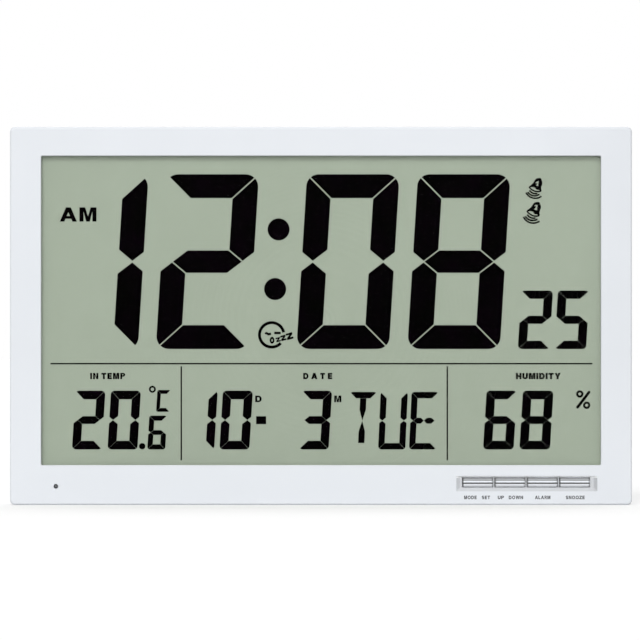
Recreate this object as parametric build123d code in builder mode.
from build123d import *
import math
import os
from collections import namedtuple

# Dementia day clock: a large upright display clock with a liquid crystal cell, four keys in a tray
# under the window, a fold-out prop leg and a battery bay in its back.
# Millimetres. X runs to the right seen from the front, Y from the front to the back, Z up.
# The origin is at the middle of the underside of the case.

# ---------------------------------------------------------------- window and case outline
window_width = 333.0
window_height = 184.0
side_border = 18.5
bottom_border = 23.7
top_border = 17.3
window_corner = 0.8
window_chamfer = 0.4
case_wall = 2.2
bezel_plate = 2.5
back_plate = 2.2
bezel_depth = 12.0
corner_radius = 3.0
front_edge_radius = 1.2
back_edge_radius = 2.5
lip_height = 1.5
lip_thickness = 1.2
lip_clearance = 0.1

case_width = window_width + 2 * side_border
case_height = bottom_border + window_height + top_border
case_middle_z = case_height / 2
inside_width = case_width - 2 * case_wall
inside_height = case_height - 2 * case_wall
inside_top = case_height - case_wall
inside_radius = corner_radius - case_wall
window_bottom = bottom_border
window_top = window_bottom + window_height
window_middle_z = window_bottom + window_height / 2

# ---------------------------------------------------------------- display stack, from front to back
gasket_thickness = 0.3
gasket_setback = 1.0
gasket_width = 2.2
polarizer_thickness = 0.2
glass_thickness = 1.1
cell_gap = 0.1
reflector_thickness = 0.3
holder_plate = 1.5
glass_cover = 4.0
contact_ledge = 3.0
polarizer_inset = 0.5
seal_width = 1.0
rib_clearance = 0.25
rib_thickness = 1.2
rib_gap_to_holder = 0.2

glass_width = window_width + 2 * glass_cover
glass_bottom = window_bottom - glass_cover
glass_top = window_top + glass_cover
glass_height = glass_top - glass_bottom
glass_middle_z = (glass_top + glass_bottom) / 2
rear_glass_bottom = glass_bottom + contact_ledge
rear_glass_height = glass_top - rear_glass_bottom
rear_glass_middle_z = (glass_top + rear_glass_bottom) / 2
display_depth = (
    bezel_plate
    + gasket_thickness
    + polarizer_thickness
    + 2 * glass_thickness
    + cell_gap
    + reflector_thickness
    + holder_plate
)

# ---------------------------------------------------------------- battery bay
cell_diameter = 14.2
cell_body_length = 49.2
cell_nub_length = 1.3
cell_nub_radius = 2.75
cell_pitch = 15.0
cell_clearance = 0.3
bay_place = (-95.0, 60.0)
bay_end_room = 6.5
bay_side_room = 0.4
bay_wall = 2.6
bay_floor = 1.6
bay_to_holder = 3.1
holder_rib_height = 1.6
door_thickness = 1.8
door_ledge = 2.0
door_gap = 0.2
door_corner = 1.5
tab_width = 6.0
tab_thickness = 1.3
tab_drop = 1.9
tab_reach = 1.55
tab_root = 0.6
tab_spacing = 36.0
tab_clearance = 0.3
latch_width = 12.0
latch_length = 9.0
latch_slit = 1.0
grip_width = 0.8
grip_pitch = 2.0
grip_depth = 0.4
grip_margin = 1.5
grip_count = 3
scoop_radius = 7.0
scoop_depth = 1.1
contact_plate = 0.4
contact_size = 11.0
contact_dimple = 0.6
contact_tag = (3.0, 5.0)
tag_clearance = 0.2
spring_wire = 0.8
spring_radius = 3.6
spring_turns = 3
spring_end_gap = 0.05

cell_length = cell_body_length + cell_nub_length
bay_length = cell_length + bay_end_room
bay_height = cell_pitch + cell_diameter + 2 * (cell_clearance + bay_side_room)
bay_depth = door_thickness + cell_diameter + 2 * cell_clearance
bay_left = bay_place[0] - bay_length / 2
bay_right = bay_place[0] + bay_length / 2
upper_cell_z = bay_place[1] + cell_pitch / 2
lower_cell_z = bay_place[1] - cell_pitch / 2
door_width = bay_length + 2 * door_ledge - 2 * door_gap
door_height = bay_height + 2 * door_ledge - 2 * door_gap
door_top = bay_place[1] + door_height / 2
door_bottom = bay_place[1] - door_height / 2
tab_places = [bay_place[0] + side * tab_spacing / 2 for side in (-1, 1)]

# ---------------------------------------------------------------- levels from the front to the back
case_depth = display_depth + holder_rib_height + bay_to_holder + bay_floor + bay_depth
front_y = -case_depth / 2
back_y = case_depth / 2
plate_back_y = front_y + bezel_plate
parting_y = front_y + bezel_depth
cover_inside_y = back_y - back_plate
gasket_back_y = plate_back_y + gasket_thickness
polarizer_back_y = gasket_back_y + polarizer_thickness
front_glass_back_y = polarizer_back_y + glass_thickness
cell_back_y = front_glass_back_y + cell_gap
rear_glass_back_y = cell_back_y + glass_thickness
reflector_back_y = rear_glass_back_y + reflector_thickness
holder_front_y = reflector_back_y
holder_back_y = holder_front_y + holder_plate
rib_back_y = holder_front_y - rib_gap_to_holder
bay_floor_y = back_y - bay_depth
door_inside_y = back_y - door_thickness
cell_y = bay_floor_y + cell_clearance + cell_diameter / 2

# ---------------------------------------------------------------- display holder
holder_overlap = 2.0
holder_setback = 0.2
holder_ear = 9.0
holder_ear_gap = 0.4
holder_side_screw_heights = (60.0, 165.0)
holder_top_screw_places = (-90.0, 90.0)
holder_bottom_screw_places = (-110.0, 30.0)
holder_rib_thickness = 1.4
holder_rib_places = (-140.0, -70.0, 0.0, 60.0)
holder_screw_radius = 1.3
holder_screw_tip_room = 0.4
holder_screw_head = (2.3, 1.5)
holder_boss_radius = 2.8

holder_width = glass_width + 2 * holder_overlap
holder_bottom = rear_glass_bottom + holder_setback
holder_top = glass_top + holder_overlap
holder_middle_z = (holder_bottom + holder_top) / 2
holder_side_end = inside_width / 2 - holder_ear_gap
holder_top_end = inside_top - holder_ear_gap
holder_side_x = (holder_width + inside_width) / 4
holder_side_places = [(side * holder_side_x, z) for side in (-1, 1) for z in holder_side_screw_heights]
holder_top_places = [(x, (holder_top + inside_top) / 2) for x in holder_top_screw_places]
holder_bottom_places = [(x, holder_bottom - holder_ear) for x in holder_bottom_screw_places]
holder_screw_places = holder_side_places + holder_top_places + holder_bottom_places
holder_screw_length = holder_back_y - plate_back_y - holder_screw_tip_room

# ---------------------------------------------------------------- keys and key tray
cap_width = 18.0
cap_height = 5.3
cap_gap = 1.2
cap_proud = 1.0
cap_root = 0.4
cap_clearance = 0.3
cap_corner = 0.5
cap_edge = 0.4
cap_groove_radius = 0.5
cap_groove_drop = 0.5
keys_from_side = 63.0
keys_height = 13.45
tray_depth = 1.4
tray_floor = 1.8
tray_side_slope = 2.2
tray_top_slope = 0.9
tray_bottom_slope = 2.4
tray_left_margin = 1.6
tray_right_margin = 2.6
tray_top_margin = 0.3
tray_bottom_margin = 0.6
tray_wall = 1.4
tray_corner = 0.6
lug_width = 8.0
lug_reach = 0.9
lug_thickness = 1.0
lug_gap = 0.1
pivot_radius = 0.8
pivot_clearance = 0.05
pivot_length = 1.1
pivot_behind_floor = 1.0
pivot_web_margin = 0.6
ear_width = 4.4
ear_thickness = 1.5
ear_depth = 2.3
stem_radius = 1.8
stem_offset = 5.5
stem_gap = 0.05

cap_pitch = cap_width + cap_gap
keys_middle_x = case_width / 2 - keys_from_side
keys_left = keys_middle_x - 2 * cap_pitch + cap_gap / 2
keys_right = keys_middle_x + 2 * cap_pitch - cap_gap / 2
floor_left = keys_left - tray_left_margin
floor_right = keys_right + tray_right_margin
floor_bottom = keys_height - cap_height / 2 - tray_bottom_margin
floor_top = keys_height + cap_height / 2 + tray_top_margin
tray_left = floor_left - tray_side_slope
tray_right = floor_right + tray_side_slope
tray_bottom = floor_bottom - tray_bottom_slope
tray_top = floor_top + tray_top_slope
tray_floor_y = front_y + tray_depth
tray_back_y = tray_floor_y + tray_floor
cap_front_y = tray_floor_y - cap_proud
cap_back_y = tray_back_y + cap_root
pivot_y = tray_back_y + pivot_behind_floor
cap_places = [keys_middle_x + (i - 1.5) * cap_pitch for i in range(4)]
rocker_places = cap_places[:2]
button_places = cap_places[2:]

# ---------------------------------------------------------------- main board, keypad and contact strip
board_left_margin = 10.7
board_right_margin = 6.6
board_bottom = 6.0
board_top = 74.0
board_thickness = 1.6
board_corner = 1.0
standoff_height = 3.2
standoff_radius = 2.6
standoff_inset = (10.0, 8.0)
standoff_from_tray = (4.7, 3.5)
standoff_low_heights = (12.0, 8.8)
board_screw_radius = 1.0
board_screw_length = 5.0
board_screw_tip_room = 0.2
board_screw_head = (1.9, 1.3)
strip_thickness = 2.0
strip_end_margin = 4.0
strip_setback = 0.4
keypad_sheet = 1.0
keypad_margin = 2.2
keypad_edge = 0.8
keypad_corner = 1.0
dome_height = 2.4
dome_base_radius = 3.2
dome_top_radius = 2.3

board_left = tray_left - tray_wall - board_left_margin
board_right = tray_right + tray_wall + board_right_margin
board_front_y = holder_back_y + standoff_height
board_back_y = board_front_y + board_thickness
keypad_front_y = board_front_y - keypad_sheet
dome_top_y = keypad_front_y - dome_height
stem_tip_y = dome_top_y - stem_gap
board_holder_screws = (
    (board_left + standoff_inset[0], board_top - standoff_inset[1]),
    (board_right - standoff_inset[0], board_top - standoff_inset[1]),
)
board_bezel_screws = (
    (tray_left - tray_wall - standoff_from_tray[0], standoff_low_heights[0]),
    (tray_right + tray_wall + standoff_from_tray[1], standoff_low_heights[1]),
)

# components; each place is measured from the board's lower left corner
glob_radius = 7.0
glob_top_radius = 4.9
glob_height = 1.6
glob_edge = 0.6
glob_place = (44.0, 42.0)
component_edge = 0.4
crystal_radius = 1.0
crystal_length = 6.5
crystal_place = (26.0, 34.0)
capacitor_radius = 2.5
capacitor_length = 6.0
capacitor_place = (82.0, 50.0)
chip_size = (2.0, 1.2)
chip_height = 0.6
chip_count = (6, 3)
chip_pitch = (5.5, 4.5)
chip_place = (54.0, 24.0)
humidity_place = (14.0, 48.0)
humidity_case = (8.0, 10.5)
humidity_height = 4.5
humidity_corner = 0.8
humidity_slot = (5.6, 0.9)
humidity_slot_depth = 1.2
humidity_slot_count = 4

# ---------------------------------------------------------------- temperature sensor
sensor_from_side = 27.3
sensor_height = 11.1
sensor_hole_radius = 1.4
sensor_bead_radius = 1.15
sensor_setback = 0.5
sensor_collar_radius = 2.8
sensor_collar_height = 3.0
sensor_pin_radius = 0.3
sensor_pin_spacing = 1.6
sensor_pin_length = 4.2

sensor_place = (sensor_from_side - case_width / 2, sensor_height)
bead_y = front_y + sensor_setback + sensor_bead_radius

# ---------------------------------------------------------------- screws that close the case
case_screw_inset = 7.5
case_screw_foot_z = 8.0
case_screw_to_board = 10.0
case_screw_radius = 1.5
case_screw_clearance = 0.05
case_screw_tip_room = 1.5
case_screw_head = (2.75, 2.2)
case_boss_radius = 3.5
well_radius = 3.2
well_tube_radius = 4.5
well_seat = 3.0
cross_width_share = 0.62
cross_depth_share = 0.54

case_screw_x = case_width / 2 - case_screw_inset
case_screw_foot_x = board_left - case_screw_to_board
case_screw_top_z = case_height - case_screw_inset
case_screw_places = [
    (-case_screw_x, case_screw_top_z),
    (case_screw_x, case_screw_top_z),
    (-case_screw_x, case_screw_foot_z),
    (case_screw_x, case_screw_foot_z),
    (0.0, case_screw_top_z),
    (-case_screw_foot_x, case_screw_foot_z),
    (case_screw_foot_x, case_screw_foot_z),
]
case_screw_hole = case_screw_radius + case_screw_clearance
case_screw_length = well_seat + bezel_depth - bezel_plate - case_screw_tip_room
well_seat_y = parting_y + well_seat

# ---------------------------------------------------------------- prop leg
hinge_z = 98.0
leg_foot_z = 16.3
leg_width = 62.0
leg_thickness = 5.0
leg_side_gap = 0.4
leg_floor_gap = 0.4
leg_end_gap = 0.4
leg_skin = 1.8
leg_rib = 1.6
leg_pocket_count = 4
leg_foot_radius = 8.0
leg_pin_radius = 1.6
leg_pin_clearance = 0.05
leg_pin_length = 2.6
recess_wall = 1.8
cheek_thickness = 4.2
cheek_height = 9.0
notch_width = 22.0
notch_height = 8.5

leg_height = hinge_z - leg_foot_z
leg_middle_z = (hinge_z + leg_foot_z) / 2
hinge_y = back_y - leg_thickness / 2
recess_floor_y = back_y - leg_thickness - leg_floor_gap
recess_front_y = recess_floor_y - recess_wall
recess_width = leg_width + 2 * leg_side_gap
recess_top = hinge_z + leg_thickness / 2 + leg_end_gap
recess_bottom = leg_foot_z - leg_end_gap

# ---------------------------------------------------------------- wall hanging, vents and sounder
keyhole_spacing = 200.0
keyhole_drop = 29.0
keyhole_radius = 4.5
keyhole_slot_width = 4.4
keyhole_slot_rise = 9.0
vent_from_side = 30.0
vent_height = 26.0
vent_count = 6
vent_pitch = 4.0
vent_size = (16.0, 1.6)
sounder_from_side = 60.0
sounder_from_top = 75.0
sounder_hole_radius = 1.0
sounder_ring_radius = 5.0
sounder_hole_count = 6
sounder_rib_height = 2.4
sounder_rib_thickness = 1.4
disc_radius = 13.5
disc_thickness = 0.25
ceramic_radius = 10.0
ceramic_thickness = 0.2
disc_clearance = 0.3
shelf_height = 1.2
shelf_width = 1.0

keyhole_z = case_height - keyhole_drop
vent_place = (vent_from_side - case_width / 2, vent_height)
sounder_place = (case_width / 2 - sounder_from_side, case_height - sounder_from_top)
disc_back_y = cover_inside_y - shelf_height
disc_front_y = disc_back_y - disc_thickness - ceramic_thickness

# ---------------------------------------------------------------- wires
wire_diameter = 1.2
wire_bend_share = 0.45

# ---------------------------------------------------------------- lit segments of the display
# The artwork is drawn from the middle of the window's lower edge, for the window that its largest
# digits fill up to the two margins. It is enlarged or reduced with the window's height, and its
# places spread with the window's width.
# A style holds: height, width, upright stroke, level bar, middle bar, gap between segments, outer
# corner radius and lean to the right over each unit of height.
artwork_side_margin = 2.4
artwork_top_margin = 10.9
DigitStyle = namedtuple("DigitStyle", "height width stroke bar middle gap corner lean")
digit_lean = 0.061
letter_lean = 0.045
time_style = DigitStyle(104.0, 55.1, 14.85, 14.15, 13.25, 0.72, 7.4, digit_lean)
seconds_style = DigitStyle(34.75, 18.8, 5.26, 4.85, 4.73, 0.12, 2.4, digit_lean)
reading_style = DigitStyle(34.95, 17.8, 5.15, 5.1, 4.62, 0.1, 2.4, digit_lean)
humidity_style = DigitStyle(34.95, 18.15, 5.25, 5.1, 4.62, 0.1, 2.4, digit_lean)
tenths_style = DigitStyle(20.1, 10.65, 3.1, 3.0, 2.8, 0.1, 1.5, digit_lean)
unit_style = DigitStyle(12.95, 7.9, 2.15, 2.25, 2.25, 0.08, 1.2, digit_lean)
letter_style = DigitStyle(34.2, 16.2, 3.75, 3.75, 3.45, 0.1, 2.0, letter_lean)
apex_share = 0.44
letter_taper = 6.4
arm_taper = 1.8

time_base = 69.1
time_places = (("1", -164.1), ("2", -98.4), ("0", -14.65), ("8", 51.4))
seconds_places = (("2", 117.2), ("5", 139.0))
reading_base = 9.3
temperature_places = (("2", -148.3), ("0", -127.15))
tenths_place = ("6", -103.45)
unit_place = ("degree", -98.2)
unit_base = 31.7
degree_place = (-100.4, 45.1)
degree_radii = (2.07, 1.0)
point_place = (-106.45, 11.2)
point_radius = 1.88
date_places = (("1", -81.4), ("0", -60.5), ("3", -13.3))
dash_place = (-35.65, 26.7)
dash_size = (5.95, 4.7)
weekday_places = (("T", 15.7), ("U", 34.0), ("E", 52.4))
humidity_places = (("6", 96.5), ("8", 118.15))
percent_rings = ((154.1, 42.3), (158.2, 35.6))
percent_radii = (2.15, 0.92)
percent_slash = ((152.3, 33.8), (160.1, 44.0))
percent_stroke = 1.6
colon_places = ((-25.25, 140.3), (-27.3, 104.8))
colon_radius = 6.55
rule_thickness = 0.82
rule_z = 60.35
rule_span = (-161.1, 161.6)
rule_places = (-83.2, 75.2)
rule_heights = (2.8, 58.75)

artwork_width = 2 * (artwork_side_margin - time_places[0][1])
artwork_height = time_base + time_style.height + artwork_top_margin
artwork_scale = window_height / artwork_height
artwork_stretch = window_width / artwork_width / artwork_scale

lit_segments = {
    "0": ("top", "upper_right", "lower_right", "bottom", "lower_left", "upper_left"),
    "1": ("upper_right", "lower_right"),
    "2": ("top", "upper_right", "middle", "lower_left", "bottom"),
    "3": ("top", "upper_right", "middle", "lower_right", "bottom"),
    "5": ("top", "upper_left", "middle", "lower_right", "bottom"),
    "6": ("top", "upper_left", "middle", "lower_left", "lower_right", "bottom"),
    "8": ("top", "upper_right", "lower_right", "bottom", "lower_left", "upper_left", "middle"),
    "T": ("top", "upper_centre", "lower_centre"),
    "U": ("upper_left", "lower_left", "bottom", "lower_right", "upper_right"),
    "E": ("top", "upper_left", "lower_left", "bottom", "left_arm", "right_arm"),
    "degree": ("top", "whole_left", "bottom"),
}


# ---------------------------------------------------------------- helpers
def face_plane(y):
    """Plane facing the front at depth y: sketches on it use the clock's X and Z."""
    return Plane(origin=(0, y, 0), x_dir=(1, 0, 0), z_dir=(0, -1, 0))


def on_board(place):
    """A place given from the main board's lower left corner, in the clock's X and Z."""
    return (board_left + place[0], board_bottom + place[1])


def spread(places):
    """Places on the display artwork, pushed apart or together with the window's width."""
    return [(x * artwork_stretch, z) for x, z in places]


def segment_corners(segment, style):
    """Corners of one display segment in its upright cell, from the cell's lower left corner."""
    height, width, stroke, bar, middle, gap = style[:6]
    step = gap / math.sqrt(2)
    centre = height / 2
    apex = apex_share * stroke
    notch = apex * (middle / 2) / (stroke - apex)
    top = [
        (step, height),
        (width - step, height),
        (width - stroke - step, height - bar),
        (stroke + step, height - bar),
    ]
    upper_left = [
        (0, height - step),
        (stroke, height - bar - step),
        (stroke, centre + middle / 2 + step),
        (apex, centre + step),
        (0, centre + notch + step),
    ]
    whole_left = [
        (0, height - step),
        (stroke, height - bar - step),
        (stroke, bar + step),
        (0, step),
    ]
    middle_bar = [
        (apex + step, centre),
        (stroke + step, centre + middle / 2),
        (width - stroke - step, centre + middle / 2),
        (width - apex - step, centre),
        (width - stroke - step, centre - middle / 2),
        (stroke + step, centre - middle / 2),
    ]
    left_arm = [
        (apex + step, centre),
        (stroke + step, centre + middle / 2),
        (width / 2 - arm_taper, centre + middle / 2),
        (width / 2 - step / 2, centre),
        (width / 2 - arm_taper, centre - middle / 2),
        (stroke + step, centre - middle / 2),
    ]
    upper_centre = [
        (width / 2 - stroke / 2, height - bar - step),
        (width / 2 + stroke / 2, height - bar - step),
        (width / 2 + stroke / 2, centre + letter_taper),
        (width / 2, centre + step),
        (width / 2 - stroke / 2, centre + letter_taper),
    ]

    def flipped(corners):
        return [(u, height - v) for u, v in corners]

    def mirrored(corners):
        return [(width - u, v) for u, v in corners]

    shapes = {
        "top": top,
        "bottom": flipped(top),
        "upper_left": upper_left,
        "lower_left": flipped(upper_left),
        "upper_right": mirrored(upper_left),
        "lower_right": flipped(mirrored(upper_left)),
        "middle": middle_bar,
        "whole_left": whole_left,
        "left_arm": left_arm,
        "right_arm": mirrored(left_arm),
        "upper_centre": upper_centre,
        "lower_centre": flipped(upper_centre),
    }
    return shapes[segment]


def leaning(corners, left, base, style):
    """The same corners on the display, leaning to the right as they rise."""
    return [(left * artwork_stretch + u + style.lean * v, base + v) for u, v in corners]


def character_sketch(places, base, style):
    """Lit segments of a row of characters, with the outer corners of each cell rounded."""
    with BuildSketch() as outline:
        for _, left in places:
            cell = [(0, 0), (style.width, 0), (style.width, style.height), (0, style.height)]
            Polygon(*leaning(cell, left, base, style))
        fillet(outline.vertices(), style.corner)
    with BuildSketch() as row:
        for character, left in places:
            for segment in lit_segments[character]:
                Polygon(*leaning(segment_corners(segment, style), left, base, style))
        add(outline.sketch, mode=Mode.INTERSECT)
    return row.sketch


def wire_radii(points):
    """Bend radii for a wire's corners, as large as the runs beside each corner allow."""
    radii = []
    for before, corner, after in zip(points, points[1:], points[2:]):
        run_in = Vector(*corner) - Vector(*before)
        run_out = Vector(*after) - Vector(*corner)
        turn = math.radians(run_in.get_angle(run_out))
        shorter = min(run_in.length, run_out.length)
        radii.append(wire_bend_share * shorter / math.tan(turn / 2))
    return radii


def sweep_wire(points):
    """One insulated wire along its route, as a solid of the open block."""
    with BuildLine() as route:
        FilletPolyline(*points, radius=wire_radii(points))
    with BuildSketch(Plane(origin=route.line @ 0, z_dir=route.line % 0)) as section:
        Circle(wire_diameter / 2)
    sweep(section.sketch, path=route.line)


def screw_group(places, seat_y, shank_radius, shank_length, head):
    """Pan-head screws driven towards the front, their heads seated at seat_y."""
    head_radius, head_height = head
    with BuildSketch(face_plane(seat_y)) as shanks:
        with Locations(*places):
            Circle(shank_radius)
    extrude(shanks.sketch, amount=shank_length)
    with BuildSketch(face_plane(seat_y + head_height)) as heads:
        with Locations(*places):
            Circle(head_radius)
    extrude(heads.sketch, amount=head_height)
    cross_arm = 2 * head_radius * cross_width_share
    with BuildSketch(face_plane(seat_y + head_height)) as crosses:
        with Locations(*places):
            Rectangle(cross_arm, cross_arm / 4)
            Rectangle(cross_arm / 4, cross_arm)
    extrude(crosses.sketch, amount=head_height * cross_depth_share, mode=Mode.SUBTRACT)


parts = {}


def keep(name, builder):
    """Label a finished piece and remember it for writing."""
    builder.part.label = name
    parts[name] = builder.part


# ---------------------------------------------------------------- front bezel
with BuildPart() as front_bezel:
    with BuildSketch(face_plane(parting_y)):
        with Locations((0, case_middle_z)):
            RectangleRounded(case_width, case_height, corner_radius)
    extrude(amount=bezel_depth)
    fillet(front_bezel.faces().sort_by(Axis.Y)[0].edges(), front_edge_radius)
    with BuildSketch(face_plane(parting_y)):
        with Locations((0, case_middle_z)):
            RectangleRounded(inside_width, inside_height, inside_radius)
    extrude(amount=bezel_depth - bezel_plate, mode=Mode.SUBTRACT)

    # the window, with a small chamfer round its front edge
    with BuildSketch(face_plane(plate_back_y)):
        with Locations((0, window_middle_z)):
            RectangleRounded(window_width, window_height, window_corner)
    extrude(amount=bezel_plate, mode=Mode.SUBTRACT)
    window_edge = front_bezel.faces().sort_by(Axis.Y)[0].inner_wires()[0].edges()
    chamfer(window_edge, window_chamfer)

    # the rib that locates the glass
    with BuildSketch(face_plane(rib_back_y)):
        with Locations((0, glass_middle_z)):
            Rectangle(
                glass_width + 2 * (rib_clearance + rib_thickness),
                glass_height + 2 * (rib_clearance + rib_thickness),
            )
            Rectangle(
                glass_width + 2 * rib_clearance,
                glass_height + 2 * rib_clearance,
                mode=Mode.SUBTRACT,
            )
    extrude(amount=rib_back_y - plate_back_y)

    # the key tray: a block behind the plate, a recess with four sloping walls and a slot for each key
    with BuildSketch(face_plane(tray_back_y)):
        with Locations(((tray_left + tray_right) / 2, (tray_bottom + tray_top) / 2)):
            Rectangle(tray_right - tray_left + 2 * tray_wall, tray_top - tray_bottom + 2 * tray_wall)
    extrude(amount=tray_back_y - plate_back_y)
    with BuildSketch(face_plane(front_y)):
        with Locations(((tray_left + tray_right) / 2, (tray_bottom + tray_top) / 2)):
            RectangleRounded(tray_right - tray_left, tray_top - tray_bottom, tray_corner)
    with BuildSketch(face_plane(tray_floor_y)):
        with Locations(((floor_left + floor_right) / 2, (floor_bottom + floor_top) / 2)):
            RectangleRounded(floor_right - floor_left, floor_top - floor_bottom, tray_corner)
    loft(mode=Mode.SUBTRACT)
    with BuildSketch(face_plane(tray_back_y)):
        with Locations(*[(x, keys_height) for x in cap_places]):
            Rectangle(cap_width + 2 * cap_clearance, cap_height + 2 * cap_clearance)
    extrude(amount=tray_floor, mode=Mode.SUBTRACT)

    # ears that carry the trunnions of the two rocker keys
    for ear_side in (-1, 1):
        ear_inner_z = keys_height + ear_side * (cap_height / 2 + cap_clearance)
        with BuildSketch(Plane.XY.offset(ear_inner_z)):
            with Locations(*[(x, tray_back_y + ear_depth / 2) for x in rocker_places]):
                Rectangle(ear_width, ear_depth)
        extrude(amount=ear_side * ear_thickness)
        with BuildSketch(Plane.XY.offset(ear_inner_z)):
            with Locations(*[(x, pivot_y) for x in rocker_places]):
                Circle(pivot_radius + pivot_clearance)
        extrude(amount=ear_side * ear_thickness, mode=Mode.SUBTRACT)

    # the temperature sensor's hole and the collar behind it
    with BuildSketch(face_plane(plate_back_y + sensor_collar_height)):
        with Locations(sensor_place):
            Circle(sensor_collar_radius)
    extrude(amount=sensor_collar_height)
    with BuildSketch(face_plane(plate_back_y + sensor_collar_height)):
        with Locations(sensor_place):
            Circle(sensor_hole_radius)
    extrude(amount=sensor_collar_height + bezel_plate, mode=Mode.SUBTRACT)

    # bosses for the case screws, the holder screws and the board screws
    boss_rows = (
        (case_screw_places, case_boss_radius, parting_y, case_screw_hole),
        (holder_screw_places, holder_boss_radius, holder_front_y, holder_screw_radius),
        (board_bezel_screws, standoff_radius, board_front_y, board_screw_radius),
    )
    for boss_places, boss_radius, boss_top_y, pilot_radius in boss_rows:
        with BuildSketch(face_plane(boss_top_y)):
            with Locations(*boss_places):
                Circle(boss_radius)
        extrude(amount=boss_top_y - plate_back_y)
        with BuildSketch(face_plane(boss_top_y)):
            with Locations(*boss_places):
                Circle(pilot_radius)
        extrude(amount=boss_top_y - plate_back_y, mode=Mode.SUBTRACT)
keep("front_bezel", front_bezel)


# ---------------------------------------------------------------- rear cover
with BuildPart() as rear_cover:
    with BuildSketch(face_plane(back_y)):
        with Locations((0, case_middle_z)):
            RectangleRounded(case_width, case_height, corner_radius)
    extrude(amount=back_y - parting_y)
    fillet(rear_cover.faces().sort_by(Axis.Y)[-1].edges(), back_edge_radius)
    # the hollow, which leaves the tubes for the case screws standing
    with BuildSketch(face_plane(cover_inside_y)):
        with Locations((0, case_middle_z)):
            RectangleRounded(inside_width, inside_height, inside_radius)
        with Locations(*case_screw_places):
            Circle(well_tube_radius, mode=Mode.SUBTRACT)
    extrude(amount=cover_inside_y - parting_y, mode=Mode.SUBTRACT)

    # the lip that enters the bezel: a root on the wall and a tongue past the parting line
    lip_rows = ((parting_y + lip_height, 0.0, lip_height), (parting_y, lip_clearance, lip_height))
    for lip_back_y, lip_gap, lip_reach in lip_rows:
        with BuildSketch(face_plane(lip_back_y)):
            with Locations((0, case_middle_z)):
                RectangleRounded(
                    inside_width - 2 * lip_gap, inside_height - 2 * lip_gap, inside_radius
                )
                Rectangle(
                    inside_width - 2 * (lip_clearance + lip_thickness),
                    inside_height - 2 * (lip_clearance + lip_thickness),
                    mode=Mode.SUBTRACT,
                )
        extrude(amount=lip_reach)

    # a deep well and a seat in each tube
    with BuildSketch(face_plane(back_y)):
        with Locations(*case_screw_places):
            Circle(well_radius)
    extrude(amount=back_y - well_seat_y, mode=Mode.SUBTRACT)
    with BuildSketch(face_plane(well_seat_y)):
        with Locations(*case_screw_places):
            Circle(case_screw_hole)
    extrude(amount=well_seat, mode=Mode.SUBTRACT)

    # the recess for the folded leg, with hinge cheeks and a finger notch at its foot
    recess_rows = (
        (recess_width, recess_bottom, recess_top),
        (notch_width, recess_bottom - notch_height, recess_bottom),
    )
    for span, low, high in recess_rows:
        with BuildSketch(face_plane(cover_inside_y)):
            with Locations((0, (low + high) / 2)):
                Rectangle(span + 2 * recess_wall, high - low + 2 * recess_wall)
        extrude(amount=cover_inside_y - recess_front_y)
    with BuildSketch(face_plane(cover_inside_y)):
        with Locations((0, hinge_z)):
            Rectangle(recess_width + 2 * cheek_thickness, cheek_height)
    extrude(amount=cover_inside_y - recess_front_y)
    for span, low, high in recess_rows:
        with BuildSketch(face_plane(back_y)):
            with Locations((0, (low + high) / 2)):
                Rectangle(span, high - low + (high == recess_bottom))
        extrude(amount=back_y - recess_floor_y, mode=Mode.SUBTRACT)
    with BuildSketch(Plane.YZ.offset(-recess_width / 2 - leg_pin_length)):
        with Locations((hinge_y, hinge_z)):
            Circle(leg_pin_radius + leg_pin_clearance)
    extrude(amount=recess_width + 2 * leg_pin_length, mode=Mode.SUBTRACT)

    # the battery bay, its door rebate and the slots for the door's tabs
    with BuildSketch(face_plane(cover_inside_y)):
        with Locations(bay_place):
            Rectangle(bay_length + 2 * bay_wall, bay_height + 2 * bay_wall)
    extrude(amount=cover_inside_y - bay_floor_y + bay_floor)
    with BuildSketch(face_plane(back_y)):
        with Locations(bay_place):
            Rectangle(bay_length, bay_height)
    extrude(amount=back_y - bay_floor_y, mode=Mode.SUBTRACT)
    with BuildSketch(face_plane(back_y)):
        with Locations(bay_place):
            RectangleRounded(
                bay_length + 2 * door_ledge, bay_height + 2 * door_ledge, door_corner + door_gap
            )
    extrude(amount=door_thickness, mode=Mode.SUBTRACT)
    slot_front_y = door_inside_y - tab_drop - 2 * tab_clearance
    slot_low = bay_place[1] + bay_height / 2 - tab_clearance
    slot_high = bay_place[1] + bay_height / 2 + bay_wall + tab_clearance
    with BuildSketch(face_plane(cover_inside_y)):
        with Locations(*[(x, (slot_low + slot_high) / 2) for x in tab_places]):
            Rectangle(tab_width + 2 * tab_clearance, slot_high - slot_low)
    extrude(amount=cover_inside_y - slot_front_y, mode=Mode.SUBTRACT)
    with BuildSketch(face_plane(door_inside_y)):
        with Locations(*[(x, (slot_low + door_top + door_gap) / 2) for x in tab_places]):
            Rectangle(tab_width + 2 * tab_clearance, door_top + door_gap - slot_low)
    extrude(amount=door_inside_y - cover_inside_y, mode=Mode.SUBTRACT)

    # slots in the bay's right end for the solder tags, and the thumb scoop under the door
    with BuildSketch(Plane.YZ.offset(bay_right)):
        with Locations((cell_y, upper_cell_z), (cell_y, lower_cell_z)):
            Rectangle(contact_tag[0] + 2 * tag_clearance, contact_plate + 2 * tag_clearance)
    extrude(amount=bay_wall, mode=Mode.SUBTRACT)
    with BuildSketch(face_plane(back_y)):
        with Locations((bay_place[0], door_bottom - door_gap)):
            Circle(scoop_radius)
        with Locations((bay_place[0], door_bottom - door_gap + scoop_radius)):
            Rectangle(2 * scoop_radius, 2 * scoop_radius, mode=Mode.SUBTRACT)
    extrude(amount=scoop_depth, mode=Mode.SUBTRACT)

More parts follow.
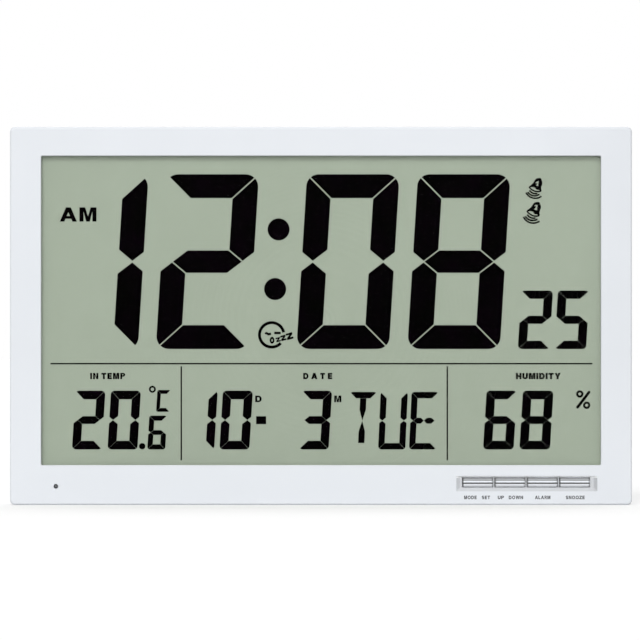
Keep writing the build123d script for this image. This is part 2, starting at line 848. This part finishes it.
    # keyholes for hanging on two screws
    with BuildSketch(face_plane(back_y)):
        with Locations(*[(side * keyhole_spacing / 2, keyhole_z) for side in (-1, 1)]):
            Circle(keyhole_radius)
            with Locations((0, keyhole_slot_rise / 2)):
                Rectangle(keyhole_slot_width, keyhole_slot_rise)
            with Locations((0, keyhole_slot_rise)):
                Circle(keyhole_slot_width / 2)
    extrude(amount=back_plate, mode=Mode.SUBTRACT)

    # vents near the sensor, sound holes and the rib that carries the sounder disc
    with BuildSketch(face_plane(back_y)):
        with Locations(vent_place):
            with GridLocations(vent_pitch, 1, vent_count, 1):
                SlotOverall(*vent_size, rotation=90)
    extrude(amount=back_plate, mode=Mode.SUBTRACT)
    with BuildSketch(face_plane(back_y)):
        with Locations(sounder_place):
            Circle(sounder_hole_radius)
            with PolarLocations(sounder_ring_radius, sounder_hole_count):
                Circle(sounder_hole_radius)
    extrude(amount=back_plate, mode=Mode.SUBTRACT)
    rib_outer = disc_radius + disc_clearance + sounder_rib_thickness
    with BuildSketch(face_plane(cover_inside_y)):
        with Locations(sounder_place):
            Circle(rib_outer)
            Circle(disc_radius + disc_clearance, mode=Mode.SUBTRACT)
    extrude(amount=sounder_rib_height)
    with BuildSketch(face_plane(cover_inside_y)):
        with Locations(sounder_place):
            Circle(rib_outer)
            Circle(disc_radius - shelf_width, mode=Mode.SUBTRACT)
    extrude(amount=shelf_height)
keep("rear_cover", rear_cover)


# ---------------------------------------------------------------- keys
def key_body(x):
    """The body of one key: a bar with a groove along its face, in the open block."""
    with BuildSketch(face_plane(cap_back_y)) as outline:
        with Locations((x, keys_height)):
            RectangleRounded(cap_width, cap_height, cap_corner)
    extrude(outline.sketch, amount=cap_back_y - cap_front_y)


def dress_key_face(builder, x):
    """Round the front edges of a key and cut the groove along it, just under its middle."""
    fillet(builder.faces().sort_by(Axis.Y)[0].edges(), cap_edge)
    with BuildSketch(Plane.YZ.offset(x - cap_width / 2)) as groove:
        with Locations((cap_front_y, keys_height - cap_groove_drop)):
            Circle(cap_groove_radius)
    extrude(groove.sketch, amount=cap_width, mode=Mode.SUBTRACT)


def key_stems(places):
    """Round stems that press the rubber domes, in the open block."""
    with BuildSketch(face_plane(stem_tip_y)) as stems:
        with Locations(*[(x, keys_height) for x in places]):
            Circle(stem_radius)
    extrude(stems.sketch, amount=stem_tip_y - cap_back_y)


rocker_names = ("mode_set_rocker", "up_down_rocker")
for rocker_name, rocker_x in zip(rocker_names, rocker_places):
    with BuildPart() as rocker:
        key_body(rocker_x)
        dress_key_face(rocker, rocker_x)
        key_stems([rocker_x - stem_offset, rocker_x + stem_offset])
        # a web behind the key carries the two trunnions
        with BuildSketch(Plane.XY.offset(keys_height - cap_height / 2)):
            with Locations((rocker_x, pivot_y)):
                Rectangle(2 * (pivot_radius + pivot_web_margin), 2 * pivot_radius)
        extrude(amount=cap_height)
        with BuildSketch(Plane.XY.offset(keys_height - cap_height / 2 - pivot_length)):
            with Locations((rocker_x, pivot_y)):
                Circle(pivot_radius)
        extrude(amount=cap_height + 2 * pivot_length)
    keep(rocker_name, rocker)

button_names = ("alarm_button", "snooze_button")
for button_name, button_x in zip(button_names, button_places):
    with BuildPart() as button:
        key_body(button_x)
        dress_key_face(button, button_x)
        key_stems([button_x])
        # lugs behind the tray's floor keep the key in
        with BuildSketch(face_plane(tray_back_y + lug_gap + lug_thickness)):
            with Locations((button_x, keys_height)):
                Rectangle(lug_width, cap_height + 2 * (cap_clearance + lug_reach))
        extrude(amount=lug_thickness)
    keep(button_name, button)

dome_places = [x + side * stem_offset for x in rocker_places for side in (-1, 1)] + button_places
with BuildPart() as button_keypad:
    with BuildSketch(face_plane(board_front_y)):
        with Locations((keys_middle_x, keys_height)):
            RectangleRounded(
                keys_right - keys_left + 2 * keypad_margin,
                2 * (dome_base_radius + keypad_edge),
                keypad_corner,
            )
    extrude(amount=keypad_sheet)
    for dome_x in dome_places:
        with BuildSketch(face_plane(keypad_front_y)):
            with Locations((dome_x, keys_height)):
                Circle(dome_base_radius)
        with BuildSketch(face_plane(dome_top_y)):
            with Locations((dome_x, keys_height)):
                Circle(dome_top_radius)
        loft()
keep("button_keypad", button_keypad)


# ---------------------------------------------------------------- display stack
def display_slab(back, thickness, width, height, middle_z):
    """A flat rectangular layer of the display, in the open block."""
    with BuildSketch(face_plane(back)) as outline:
        with Locations((0, middle_z)):
            Rectangle(width, height)
    extrude(outline.sketch, amount=thickness)


with BuildPart() as lcd_gasket:
    with BuildSketch(face_plane(gasket_back_y)):
        with Locations((0, window_middle_z)):
            Rectangle(
                window_width + 2 * (gasket_setback + gasket_width),
                window_height + 2 * (gasket_setback + gasket_width),
            )
            Rectangle(
                window_width + 2 * gasket_setback,
                window_height + 2 * gasket_setback,
                mode=Mode.SUBTRACT,
            )
    extrude(amount=gasket_thickness)
keep("lcd_gasket", lcd_gasket)

with BuildPart() as lcd_front_polarizer:
    display_slab(
        polarizer_back_y,
        polarizer_thickness,
        glass_width - 2 * polarizer_inset,
        glass_height - 2 * polarizer_inset,
        glass_middle_z,
    )
keep("lcd_front_polarizer", lcd_front_polarizer)

with BuildPart() as lcd_front_glass:
    display_slab(front_glass_back_y, glass_thickness, glass_width, glass_height, glass_middle_z)
keep("lcd_front_glass", lcd_front_glass)

with BuildPart() as lcd_rear_glass:
    display_slab(
        rear_glass_back_y, glass_thickness, glass_width, rear_glass_height, rear_glass_middle_z
    )
keep("lcd_rear_glass", lcd_rear_glass)

with BuildPart() as lcd_reflector:
    display_slab(
        reflector_back_y,
        reflector_thickness,
        glass_width - 2 * polarizer_inset,
        rear_glass_height - 2 * polarizer_inset,
        rear_glass_middle_z,
    )
keep("lcd_reflector", lcd_reflector)

with BuildPart() as lcd_edge_seal:
    with BuildSketch(face_plane(cell_back_y)):
        with Locations((0, rear_glass_middle_z)):
            Rectangle(glass_width, rear_glass_height)
            Rectangle(
                glass_width - 2 * seal_width, rear_glass_height - 2 * seal_width, mode=Mode.SUBTRACT
            )
    extrude(amount=cell_gap)
keep("lcd_edge_seal", lcd_edge_seal)

with BuildPart() as lcd_holder:
    with BuildSketch(face_plane(holder_back_y)):
        with Locations((0, holder_middle_z)):
            Rectangle(holder_width, holder_top - holder_bottom)
        # ears at the sides, at the top and below, for the screws
        with Locations(*[(0, z) for z in holder_side_screw_heights]):
            Rectangle(2 * holder_side_end, holder_ear)
        with Locations(*[(x, (holder_middle_z + holder_top_end) / 2) for x in holder_top_screw_places]):
            Rectangle(holder_ear, holder_top_end - holder_middle_z)
        with Locations(*[(x, holder_bottom - holder_ear / 2) for x in holder_bottom_screw_places]):
            Rectangle(holder_ear, 2 * holder_ear)
    extrude(amount=holder_plate)
    with BuildSketch(face_plane(holder_back_y + holder_rib_height)):
        with Locations(*[(x, holder_middle_z) for x in holder_rib_places]):
            Rectangle(holder_rib_thickness, holder_top - holder_bottom - 2 * holder_ear)
    extrude(amount=holder_rib_height)
    with BuildSketch(face_plane(board_front_y)):
        with Locations(*board_holder_screws):
            Circle(standoff_radius)
    extrude(amount=standoff_height)
    with BuildSketch(face_plane(board_front_y)):
        with Locations(*board_holder_screws):
            Circle(board_screw_radius)
    extrude(amount=board_screw_length - board_thickness + board_screw_tip_room, mode=Mode.SUBTRACT)
    with BuildSketch(face_plane(holder_back_y)):
        with Locations(*holder_screw_places):
            Circle(holder_screw_radius)
    extrude(amount=holder_plate, mode=Mode.SUBTRACT)
keep("lcd_holder", lcd_holder)

with BuildPart() as lcd_contact_strip:
    with BuildSketch(face_plane(board_front_y)):
        with Locations(
            ((board_left + board_right) / 2, glass_bottom + strip_setback + strip_thickness / 2)
        ):
            Rectangle(board_right - board_left - 2 * strip_end_margin, strip_thickness)
    extrude(amount=board_front_y - front_glass_back_y)
keep("lcd_contact_strip", lcd_contact_strip)


# ---------------------------------------------------------------- lit segments
def raise_artwork(artwork):
    """Scale artwork to the window and raise it through the gap between the glasses."""
    window_foot = Plane(origin=(0, cell_back_y, window_bottom), x_dir=(1, 0, 0), z_dir=(0, -1, 0))
    with BuildSketch(window_foot) as layer:
        add(artwork)
        scale(by=artwork_scale)
    extrude(layer.sketch, amount=cell_gap)


with BuildPart() as time_digits:
    raise_artwork(character_sketch(time_places, time_base, time_style))
keep("time_digits", time_digits)

with BuildSketch() as colon_dots:
    with Locations(*spread(colon_places)):
        Circle(colon_radius)
with BuildPart() as time_colon:
    raise_artwork(colon_dots.sketch)
keep("time_colon", time_colon)

with BuildPart() as seconds_digits:
    raise_artwork(character_sketch(seconds_places, time_base, seconds_style))
keep("seconds_digits", seconds_digits)

with BuildSketch() as temperature_marks:
    add(character_sketch(temperature_places, reading_base, reading_style))
    add(character_sketch([tenths_place], reading_base, tenths_style))
    add(character_sketch([unit_place], unit_base, unit_style))
    with Locations(*spread([degree_place])):
        Circle(degree_radii[0])
        Circle(degree_radii[1], mode=Mode.SUBTRACT)
    with Locations(*spread([point_place])):
        Circle(point_radius)
with BuildPart() as temperature_digits:
    raise_artwork(temperature_marks.sketch)
keep("temperature_digits", temperature_digits)

with BuildSketch() as date_marks:
    add(character_sketch(date_places, reading_base, reading_style))
    with Locations(*spread([dash_place])):
        Rectangle(*dash_size)
with BuildPart() as date_digits:
    raise_artwork(date_marks.sketch)
keep("date_digits", date_digits)

with BuildPart() as weekday_letters:
    raise_artwork(character_sketch(weekday_places, reading_base, letter_style))
keep("weekday_letters", weekday_letters)

slash_foot, slash_head = [Vector(*end) for end in spread(percent_slash)]
slash_run = slash_head - slash_foot
slash_middle = (slash_head + slash_foot) / 2
slash_angle = math.degrees(math.atan2(slash_run.Y, slash_run.X))
with BuildSketch() as humidity_marks:
    add(character_sketch(humidity_places, reading_base, humidity_style))
    with Locations(*spread(percent_rings)):
        Circle(percent_radii[0])
        Circle(percent_radii[1], mode=Mode.SUBTRACT)
    with Locations((slash_middle.X, slash_middle.Y)):
        SlotOverall(slash_run.length, percent_stroke, rotation=slash_angle)
with BuildPart() as humidity_digits:
    raise_artwork(humidity_marks.sketch)
keep("humidity_digits", humidity_digits)

with BuildSketch() as rule_lines:
    with Locations(*spread([((rule_span[0] + rule_span[1]) / 2, rule_z)])):
        Rectangle((rule_span[1] - rule_span[0]) * artwork_stretch, rule_thickness)
    with Locations(*spread([(x, (rule_heights[0] + rule_heights[1]) / 2) for x in rule_places])):
        Rectangle(rule_thickness, rule_heights[1] - rule_heights[0])
with BuildPart() as display_rules:
    raise_artwork(rule_lines.sketch)
keep("display_rules", display_rules)


# ---------------------------------------------------------------- main board and what it carries
board_screw_places = board_holder_screws + board_bezel_screws
with BuildPart() as main_board:
    with BuildSketch(face_plane(board_back_y)):
        with Locations(((board_left + board_right) / 2, (board_bottom + board_top) / 2)):
            RectangleRounded(board_right - board_left, board_top - board_bottom, board_corner)
        with Locations(*board_screw_places):
            Circle(board_screw_radius, mode=Mode.SUBTRACT)
    extrude(amount=board_thickness)
keep("main_board", main_board)

with BuildPart() as board_screws:
    screw_group(
        board_screw_places, board_back_y, board_screw_radius, board_screw_length, board_screw_head
    )
keep("board_screws", board_screws)

with BuildPart() as controller_glob:
    with BuildSketch(face_plane(board_back_y + glob_height)):
        with Locations(on_board(glob_place)):
            Circle(glob_top_radius)
    with BuildSketch(face_plane(board_back_y)):
        with Locations(on_board(glob_place)):
            Circle(glob_radius)
    loft()
    fillet(controller_glob.faces().sort_by(Axis.Y)[-1].edges(), glob_edge)
keep("controller_glob", controller_glob)

crystal_x, crystal_z = on_board(crystal_place)
with BuildPart() as timing_crystal:
    with BuildSketch(Plane.XY.offset(crystal_z)):
        with Locations((crystal_x, board_back_y + crystal_radius)):
            Circle(crystal_radius)
    extrude(amount=crystal_length)
    fillet(timing_crystal.faces().sort_by(Axis.Z)[-1].edges(), component_edge)
keep("timing_crystal", timing_crystal)

capacitor_x, capacitor_z = on_board(capacitor_place)
with BuildPart() as smoothing_capacitor:
    with BuildSketch(Plane.XY.offset(capacitor_z)):
        with Locations((capacitor_x, board_back_y + capacitor_radius)):
            Circle(capacitor_radius)
    extrude(amount=capacitor_length)
    fillet(smoothing_capacitor.faces().sort_by(Axis.Z)[-1].edges(), component_edge)
keep("smoothing_capacitor", smoothing_capacitor)

with BuildPart() as chip_components:
    with BuildSketch(face_plane(board_back_y + chip_height)):
        with Locations(on_board(chip_place)):
            with GridLocations(*chip_pitch, *chip_count):
                Rectangle(*chip_size)
    extrude(amount=chip_height)
keep("chip_components", chip_components)

with BuildPart() as humidity_sensor:
    with BuildSketch(face_plane(board_back_y + humidity_height)):
        with Locations(on_board(humidity_place)):
            RectangleRounded(*humidity_case, humidity_corner)
    extrude(amount=humidity_height)
    with BuildSketch(face_plane(board_back_y + humidity_height)):
        with Locations(on_board(humidity_place)):
            with GridLocations(1, 2 * humidity_slot[1], 1, humidity_slot_count):
                Rectangle(*humidity_slot)
    extrude(amount=humidity_slot_depth, mode=Mode.SUBTRACT)
keep("humidity_sensor", humidity_sensor)

sensor_pins = [(sensor_place[0], sensor_place[1] + side * sensor_pin_spacing / 2) for side in (-1, 1)]
with BuildPart() as temperature_sensor:
    with Locations((sensor_place[0], bead_y, sensor_place[1])):
        Sphere(sensor_bead_radius)
    with BuildSketch(face_plane(bead_y + sensor_pin_length)):
        with Locations(*sensor_pins):
            Circle(sensor_pin_radius)
    extrude(amount=sensor_pin_length)
keep("temperature_sensor", temperature_sensor)

with BuildPart() as sounder_disc:
    with BuildSketch(face_plane(disc_back_y)):
        with Locations(sounder_place):
            Circle(disc_radius)
    extrude(amount=disc_thickness)
    with BuildSketch(face_plane(disc_back_y - disc_thickness)):
        with Locations(sounder_place):
            Circle(ceramic_radius)
    extrude(amount=ceramic_thickness)
keep("sounder_disc", sounder_disc)


# ---------------------------------------------------------------- screws
with BuildPart() as holder_screws:
    screw_group(
        holder_screw_places,
        holder_back_y,
        holder_screw_radius,
        holder_screw_length,
        holder_screw_head,
    )
keep("holder_screws", holder_screws)

with BuildPart() as case_screws:
    screw_group(
        case_screw_places, well_seat_y, case_screw_radius, case_screw_length, case_screw_head
    )
keep("case_screws", case_screws)


# ---------------------------------------------------------------- prop leg
with BuildPart() as stand_leg:
    with BuildSketch(face_plane(back_y)):
        with Locations((0, leg_middle_z)):
            Rectangle(leg_width, leg_height)
    extrude(amount=leg_thickness)
    fillet(stand_leg.edges().filter_by(Axis.Y).group_by(Axis.Z)[0], leg_foot_radius)
    # the rounded top end turns on the hinge line
    with BuildSketch(Plane.YZ.offset(-leg_width / 2)):
        with Locations((hinge_y, hinge_z)):
            Circle(leg_thickness / 2)
    extrude(amount=leg_width)
    # pockets in the hidden side leave a skin, a rim and the ribs between them
    pocket_height = leg_height - leg_thickness - 2 * leg_foot_radius
    pocket_width = (leg_width - leg_rib) / leg_pocket_count - leg_rib
    with BuildSketch(face_plane(back_y - leg_skin)):
        with Locations((0, leg_middle_z)):
            with GridLocations(pocket_width + leg_rib, 1, leg_pocket_count, 1):
                Rectangle(pocket_width, pocket_height)
    extrude(amount=leg_thickness - leg_skin, mode=Mode.SUBTRACT)
    # pins that snap into the cheeks
    with BuildSketch(Plane.YZ.offset(-leg_width / 2 - leg_pin_length)):
        with Locations((hinge_y, hinge_z)):
            Circle(leg_pin_radius)
    extrude(amount=leg_width + 2 * leg_pin_length)
keep("stand_leg", stand_leg)


# ---------------------------------------------------------------- battery door, cells and contacts
with BuildPart() as battery_door:
    with BuildSketch(face_plane(back_y)):
        with Locations(bay_place):
            RectangleRounded(door_width, door_height, door_corner)
    extrude(amount=door_thickness)
    # slits that free the latch tongue, and its grip grooves
    with BuildSketch(face_plane(back_y)):
        slit_middle = door_bottom + latch_length / 2
        with Locations(
            *[(bay_place[0] + side * (latch_width + latch_slit) / 2, slit_middle) for side in (-1, 1)]
        ):
            Rectangle(latch_slit, latch_length)
    extrude(amount=door_thickness, mode=Mode.SUBTRACT)
    with BuildSketch(face_plane(back_y)):
        with Locations((bay_place[0], slit_middle)):
            with GridLocations(1, grip_pitch, 1, grip_count):
                Rectangle(latch_width - 2 * grip_margin, grip_width)
    extrude(amount=grip_depth, mode=Mode.SUBTRACT)
    # hooked tabs along the top edge
    neck_low = bay_place[1] + bay_height / 2 - tab_root
    neck_high = door_top - door_gap
    with BuildSketch(face_plane(door_inside_y)):
        with Locations(*[(x, (neck_low + neck_high) / 2) for x in tab_places]):
            Rectangle(tab_width, neck_high - neck_low)
    extrude(amount=tab_drop)
    with BuildSketch(face_plane(door_inside_y - tab_drop + tab_thickness)):
        with Locations(*[(x, (neck_low + door_top + tab_reach) / 2) for x in tab_places]):
            Rectangle(tab_width, door_top + tab_reach - neck_low)
    extrude(amount=tab_thickness)
keep("battery_door", battery_door)


def battery_cell(z, nub_side, nub_tip_x):
    """An AA cell lying along X, its nub pointing to nub_side (1 right, -1 left)."""
    with BuildSketch(Plane.YZ.offset(nub_tip_x)) as nub:
        with Locations((cell_y, z)):
            Circle(cell_nub_radius)
    extrude(nub.sketch, amount=-nub_side * cell_nub_length)
    with BuildSketch(Plane.YZ.offset(nub_tip_x - nub_side * cell_nub_length)) as body:
        with Locations((cell_y, z)):
            Circle(cell_diameter / 2)
    extrude(body.sketch, amount=-nub_side * cell_body_length)


upper_nub_x = bay_right - contact_plate - contact_dimple
lower_nub_x = bay_left + contact_plate + contact_dimple
with BuildPart() as battery_cell_1:
    battery_cell(upper_cell_z, 1, upper_nub_x)
keep("battery_cell_1", battery_cell_1)

with BuildPart() as battery_cell_2:
    battery_cell(lower_cell_z, -1, lower_nub_x)
keep("battery_cell_2", battery_cell_2)


def contact_sheet(wall_x, inward, low_z, high_z):
    """A flat contact against one end wall of the bay; inward is the side it faces."""
    with BuildSketch(Plane.YZ.offset(wall_x)) as sheet:
        with Locations((cell_y, (low_z + high_z) / 2)):
            Rectangle(contact_size, high_z - low_z + contact_size)
    extrude(sheet.sketch, amount=inward * contact_plate)


def contact_button(wall_x, inward, z):
    """The raised dimple that a cell's nub touches."""
    with BuildSketch(Plane.YZ.offset(wall_x + inward * contact_plate)) as dimple:
        with Locations((cell_y, z)):
            Circle(cell_nub_radius)
    extrude(dimple.sketch, amount=inward * contact_dimple)


def contact_tongue(z):
    """A solder tag that passes out through the bay's right end wall."""
    with BuildSketch(Plane.YZ.offset(bay_right)) as tag:
        with Locations((cell_y, z)):
            Rectangle(contact_tag[0], contact_plate)
    extrude(tag.sketch, amount=contact_tag[1])


def contact_spring(wall_x, inward, z):
    """A coil spring between a contact sheet and a cell's flat end."""
    free_length = bay_length - 2 * contact_plate - contact_dimple - cell_length
    rise = free_length - spring_wire - 2 * spring_end_gap
    start_x = wall_x + inward * (contact_plate + spring_wire / 2 + spring_end_gap)
    coil = Helix(
        pitch=rise / spring_turns,
        height=rise,
        radius=spring_radius,
        center=(start_x, cell_y, z),
        direction=(inward, 0, 0),
    )
    with BuildSketch(Plane(origin=coil @ 0, z_dir=coil % 0)) as section:
        Circle(spring_wire / 2)
    sweep(section.sketch, path=coil, is_frenet=True)


with BuildPart() as battery_contact_positive:
    contact_sheet(bay_right, -1, upper_cell_z, upper_cell_z)
    contact_button(bay_right, -1, upper_cell_z)
    contact_tongue(upper_cell_z)
keep("battery_contact_positive", battery_contact_positive)

with BuildPart() as battery_contact_negative:
    contact_sheet(bay_right, -1, lower_cell_z, lower_cell_z)
    contact_tongue(lower_cell_z)
    contact_spring(bay_right, -1, lower_cell_z)
keep("battery_contact_negative", battery_contact_negative)

with BuildPart() as battery_contact_link:
    contact_sheet(bay_left, 1, lower_cell_z, upper_cell_z)
    contact_button(bay_left, 1, lower_cell_z)
    contact_spring(bay_left, 1, upper_cell_z)
keep("battery_contact_link", battery_contact_link)


# ---------------------------------------------------------------- wires inside the case
tag_end_x = bay_right + contact_tag[1]
lead_rows = {
    "battery_lead_red": [
        (tag_end_x, cell_y, upper_cell_z),
        (tag_end_x + 9, cell_y, upper_cell_z),
        (tag_end_x + 18, cell_y - 3, upper_cell_z - 2),
        (-18, 2.6, 64),
        (20, 2.2, 67),
        (56, 3.2, 66),
        (72, 3.4, 62),
        (75, 2.6, 61),
        (75, board_back_y, 61),
    ],
    "battery_lead_black": [
        (tag_end_x, cell_y, lower_cell_z),
        (tag_end_x + 9, cell_y, lower_cell_z),
        (tag_end_x + 18, cell_y - 3, lower_cell_z + 2),
        (-18, 2.8, 57),
        (20, 2.2, 55),
        (50, 3.0, 52),
        (68, 3.2, 44),
        (72, 2.4, 42),
        (72, board_back_y, 42),
    ],
}
for lead_name, lead_points in lead_rows.items():
    print(lead_name, "bend radii", [round(r, 1) for r in wire_radii(lead_points)])
    with BuildPart() as lead:
        sweep_wire(lead_points)
    keep(lead_name, lead)

sounder_x, sounder_z = sounder_place
sounder_routes = [
    [
        (sounder_x + offset, disc_front_y, sounder_z - 6),
        (sounder_x + offset, 7.5, sounder_z - 6),
        (sounder_x + offset, 4.0, sounder_z - 11),
        (sounder_x + 1.4 * offset, 2.6, sounder_z - 26),
        (sounder_x + 1.8 * offset - 2, 2.2, sounder_z - 52),
        (sounder_x + offset + 1, 2.0, 78),
        (sounder_x + offset, 1.4, 68),
        (sounder_x + offset, board_back_y, 68),
    ]
    for offset in (-2, 2)
]
with BuildPart() as sounder_leads:
    for sounder_route in sounder_routes:
        print("sounder lead bend radii", [round(r, 1) for r in wire_radii(sounder_route)])
        sweep_wire(sounder_route)
keep("sounder_leads", sounder_leads)

pin_end_y = bead_y + sensor_pin_length
sensor_x, sensor_z = sensor_place
sensor_routes = [
    [
        (sensor_x, pin_end_y, sensor_z + rise),
        (sensor_x, pin_end_y + 2.6, sensor_z + rise),
        (sensor_x + 4, -4.6, sensor_z + 1.5 + rise),
        (sensor_x + 16, -3.8, 16.6 + rise),
        (-100, -3.6, 17.2 + rise),
        (-45, -3.8, 18.0 + rise),
        (10, -3.4, 17.2 + rise),
        (48, -1.4, 18.2 + rise),
        (70, 0.2, 20.4 + rise),
        (74, -0.4, 21.0 + rise),
        (74, board_back_y, 21.0 + rise),
    ]
    for rise in (-sensor_pin_spacing / 2, sensor_pin_spacing / 2)
]
with BuildPart() as sensor_leads:
    for sensor_route in sensor_routes:
        print("sensor lead bend radii", [round(r, 1) for r in wire_radii(sensor_route)])
        sweep_wire(sensor_route)
keep("sensor_leads", sensor_leads)


# ---------------------------------------------------------------- write every piece
os.makedirs("parts", exist_ok=True)
for part_name, part in parts.items():
    export_step(part, f"parts/{part_name}.step")
